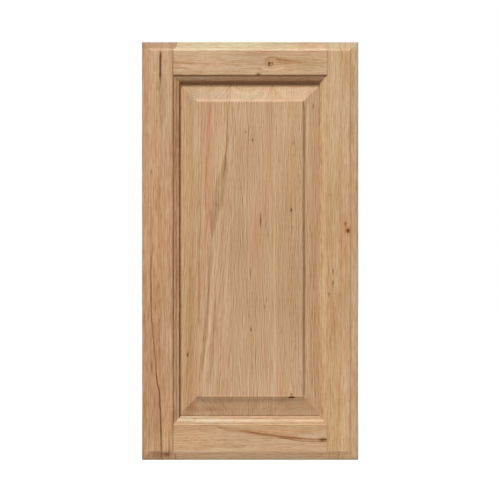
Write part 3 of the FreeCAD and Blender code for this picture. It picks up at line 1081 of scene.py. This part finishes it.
# %% Dress the left board
streak_route = (
    (-34.0, 224.0), (-34.1, 205.0), (-34.7, 174.3), (-36.6, 146.3), (-38.4, 125.2), (-40.3, 110.0),
)
patch_route = (
    (-36.9, 152.0), (-39.4, 124.5), (-43.9, 104.9), (-46.9, 86.8), (-49.8, 69.4), (-54.3, 54.3),
    (-57.0, 28.0), (-57.6, 16.0),
)
tail_route = (
    (-56.0, 40.0), (-59.8, -17.3), (-62.8, -62.6), (-66.6, -115.0), (-71.1, -160.0), (-77.9, -210.0),
)
left_board_flow = ((0.0, 262.0), (-1.0, 120.0), (-6.0, 20.0), (-14.0, -134.0), (-21.0, -258.0))
left_board_marks = [
    Vein(((-40.0, 230.0), (-39.5, 182.5), (-43.0, 120.0), (-50.0, 80.0)), 7.5, fresh, 1.0),
    Vein(streak_route, 1.7, brown, 0.75),
    Vein(patch_route, 10.5, streak_brown, 1.6, lens=True),
    Vein(tail_route, 3.4, streak_brown, 0.9, taper=6),
    Vein(((-51.0, -60.0), (-54.5, -115.0), (-57.5, -160.0), (-62.3, -210.0)),
         3.0, streak_brown, 0.9, taper=6),
    Vein(((-76.3, 30.0), (-77.0, -17.0), (-77.3, -62.0), (-75.5, -125.0)), 2.4, tan, 0.8),
    Vein(((-50.0, 10.0), (-54.5, -17.0), (-57.0, -62.0), (-61.5, -115.0), (-66.5, -160.0),
          (-73.5, -215.0)), 3.6, pale, 0.8),
    Vein(((-73.6, 240.0), (-73.6, 130.0), (-74.5, 60.0), (-76.0, 0.0)), 1.3, reddish_brown, 0.8),
    Vein(((-66.0, 150.0), (-66.5, 110.0), (-67.5, 60.0)), 1.3, reddish_brown, 0.8),
    Vein(((-61.0, 226.0), (-61.5, 180.0), (-64.0, 110.0)), 5.5, reddish, 0.7, taper=30),
    Vein(((-62.0, 120.0), (-66.0, 20.0), (-73.0, -80.0)), 7.0, reddish, 0.5),
    Vein(((-62.5, 226.0), (-62.5, 180.0), (-62.0, 140.0)), 3.0, dull, 0.9, taper=30),
    Vein(((-90.0, -20.0), (-90.0, -400.0)), 14.0, dull, 0.8),
    Mark(-52.1, -95.0, 1.8, 30.0, reddish, 0.9),
    Mark(-58.0, -149.3, 4.0, 20.0, reddish, 0.8),
    Mark(-94.6, -156.8, 2.0, 5.0, dark_brown, 1.0, 8),
    upright_band(-90.0, 14.0, tan, 0.5),
    # Painted sheen on the upward top bevel, and the field's painted light at both ends.
    level_band(236.0, 13.0, cool_slope_sheen, 1.0, -94, 60),
    *field_end_bands(-75, 60),
    Mark(-60.0, -239.0, 16.0, 6.0, reddish_brown, 0.6),
    # Painted light on the lower bevel, which looks down.
    level_band(-234.0, 13.0, fair, 0.5, -94, 60),
    Mark(-88.0, -236.0, 12.0, 12.0, reddish, 0.8),
    *panel_end_bands,
]
left_board = Board(
    colour=linear(193, 155, 118),
    pith=(-92.0, 160.0, 0.0),
    ring_width=1.3,
    wander=7.0,
    fineness=0.6,
    end_grain=0.35,
    marks=left_board_marks,
    grain=(0.9, 0.9, 0.8),
    seed=(0, 0, 400),
    flow=left_board_flow,
)
dress("panel_board_left", board_material("panel_wood_left", left_board))

# %% [markdown]
# In the middle board the pith lay behind the back and leant a little, so the bevels cut the rings into fans.
# Pin knots and thin dark dashes are scattered over it. Random dots would be quicker, but each one stands at
# a given place, because a few marks that are too evenly spread look false.

# %% Dress the middle board
middle_board_knots = (
    Knot(4.0, 167.5, 5.0, 12.0, 0.5),
    Knot(-7.0, 179.5, 4.0, 10.0, 0.4),
    Knot(1.3, -118.4, 5.0, 12.0, 0.5),
)
middle_board_marks = [
    Mark(4.0, 167.5, 1.9, 4.6, brown, 1.0),
    Mark(-7.0, 179.5, 1.6, 3.4, brown, 0.9),
    Mark(1.3, -118.4, 1.8, 4.2, brown, 1.0),
    Mark(15.7, 47.0, 1.6, 15.0, dark_brown, 0.9),
    Mark(23.5, 40.0, 1.3, 9.0, brown, 0.7),
    Mark(0.6, -32.0, 1.4, 12.0, brown, 0.7),
    Mark(25.0, -72.4, 1.2, 7.0, brown, 0.7),
    Mark(21.7, -84.4, 1.2, 6.0, brown, 0.7),
    Mark(27.0, 120.0, 8.0, 120.0, reddish, 0.6),
    Mark(10.0, 20.0, 12.0, 60.0, reddish, 0.6),
    Mark(2.0, 0.0, 50.0, 70.0, dull, 0.8),
    Mark(-8.0, 205.0, 34.0, 45.0, washed, 0.6),
    Mark(-24.0, 70.0, 10.0, 90.0, washed, 0.3),
    Mark(21.0, 60.0, 16.0, 60.0, tanned, 0.35),
    Mark(5.0, -76.0, 50.0, 46.0, tanned, 0.5),
    Mark(5.0, -206.0, 60.0, 32.0, washed, 0.6),
    # Painted light on the lower bevel, which looks down, painted sheen on the upward top bevel, and the
    # painted light and shade of the field's and the panel's ends.
    level_band(-234.0, 12.0, washed, 0.25),
    level_band(-232.0, 13.0, fair, 1.0),
    level_band(236.0, 13.0, lit_slope, 1.0),
    *field_end_bands(-60, 80),
    *panel_end_bands,
]
middle_board = Board(
    colour=linear(191, 153, 116),
    pith=(12.0, 62.0, 0.0),
    ring_width=1.2,
    wander=5.0,
    fineness=1.0,
    end_grain=0.35,
    marks=middle_board_marks,
    lean=-0.074,
    figure=0.95,
    knots=middle_board_knots,
)
dress("panel_board_middle", board_material("panel_wood_middle", middle_board))

# %% [markdown]
# The right board has the same fine lines, a little fainter. Its pith also lay behind the back, so its rings
# fan out on both bevels. The knot at the lower end of the field is an open slit in the model, and the wood
# round it is paler, so it gets two dark ovals for its walls over a pale one.

# %% Dress the right board
right_board_knots = (
    Knot(62.1, 61.9, 5.0, 14.0, 0.5),
    Knot(65.0, 153.0, 6.0, 26.0, 0.5),
    Knot(62.0, -214.0, 14.0, 26.0, 0.5),
)
right_board_marks = [
    Mark(62.1, 61.9, 2.0, 4.4, dark_brown, 0.9),
    Mark(64.7, 163.0, 3.0, 5.0, tan, 0.7),
    Mark(65.6, 144.1, 3.0, 4.5, tan, 0.6),
    Mark(70.0, 204.4, 2.5, 5.0, tan, 0.6),
    Mark(47.3, -120.6, 2.4, 5.0, tan, 0.8),
    Mark(62.4, -206.0, 9.0, 7.0, pinkish, 1.0),
    Mark(62.2, -216.4, 2.0, 3.2, brown, 1.0),
    Mark(62.4, -221.0, 6.6, 1.7, black_brown, 1.0),
    Mark(95.3, 218.8, 1.6, 7.0, brown, 1.0),
    Mark(88.0, -230.0, 12.0, 14.0, reddish, 0.8),
    # Painted light on the lower bevel, which looks down.
    level_band(-234.0, 13.0, fair, 0.6, -60, 94),
    Mark(99.0, 5.0, 7.0, 290.0, reddish, 0.6),
    # A painted shade line along the field's right edge, and painted light on the bevel beside it.
    upright_band(81.6, 2.0, brown, 0.7, -221, 226),
    upright_band(87.0, 5.0, fair, 0.9, -219, 226),
    Mark(66.0, -40.0, 40.0, 150.0, dull, 0.6),
    Mark(62.0, 200.0, 34.0, 42.0, washed, 0.7),
    Mark(68.0, 45.0, 14.0, 40.0, washed, 0.4),
    Mark(42.0, -76.0, 26.0, 46.0, tanned, 0.4),
    Mark(72.0, -110.0, 18.0, 46.0, tanned, 0.4),
    Mark(36.5, 0.0, 2.6, 300.0, pale, 0.8),
    # Painted sheen on the upward top bevel, and the painted light and shade of the field's and the panel's
    # ends.
    level_band(236.0, 13.0, lit_slope, 0.8, -60, 87),
    level_band(245.0, 6.0, lit_slope, 0.4, -60, 98),
    *field_end_bands(-60, 80),
    *panel_end_bands,
]
right_board = Board(
    colour=linear(192, 154, 117),
    pith=(71.0, 80.0, 0.0),
    ring_width=1.2,
    wander=5.0,
    fineness=1.0,
    end_grain=0.35,
    marks=right_board_marks,
    figure=0.85,
    seed=(0, 0, 250),
    knots=right_board_knots,
)
dress("panel_board_right", board_material("panel_wood_right", right_board))

# %% [markdown]
# ## The rubber barrels
#
# Four barrels of soft black rubber sit in the grooves of the rails and keep the panel from rattling. They
# are dull, slightly uneven in tone and lightly pitted. A flat black would do where nobody looks, but a
# little noise in tone, roughness and bump makes them right for a view of the door taken apart.

# %% Dress the rubber
rubber_black = (0.035, 0.035, 0.036, 1)
rubber_bloom = (0.07, 0.069, 0.066, 1)
rubber_roughness = 0.7
bloom_size = (2.5, 2.5, 2.5)
pit_size = (0.4, 0.4, 0.4)
pit_depth = 0.0001


def rubber_material():
    """Dull black rubber with a faint bloom."""
    material, tree, shader = new_material("spacer_rubber")
    place, _ = place_and_facing(tree)
    bloom = noise(tree, place, bloom_size, detail=3.0)
    tree.links.new(mix_colours(tree, bloom, rubber_black, rubber_bloom), shader.inputs["Base Color"])
    rough = math_node(tree, "MULTIPLY_ADD", bloom, 0.2, rubber_roughness)
    tree.links.new(rough, shader.inputs["Roughness"])
    pits = noise(tree, place, pit_size, detail=1.0)
    bump = add(tree, "Bump", {"Height": pits, "Distance": pit_depth, "Strength": 0.5})
    tree.links.new(bump.outputs[0], shader.inputs["Normal"])
    return material


rubber = rubber_material()
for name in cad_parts:
    if "spacer" in name:
        dress(name, rubber)
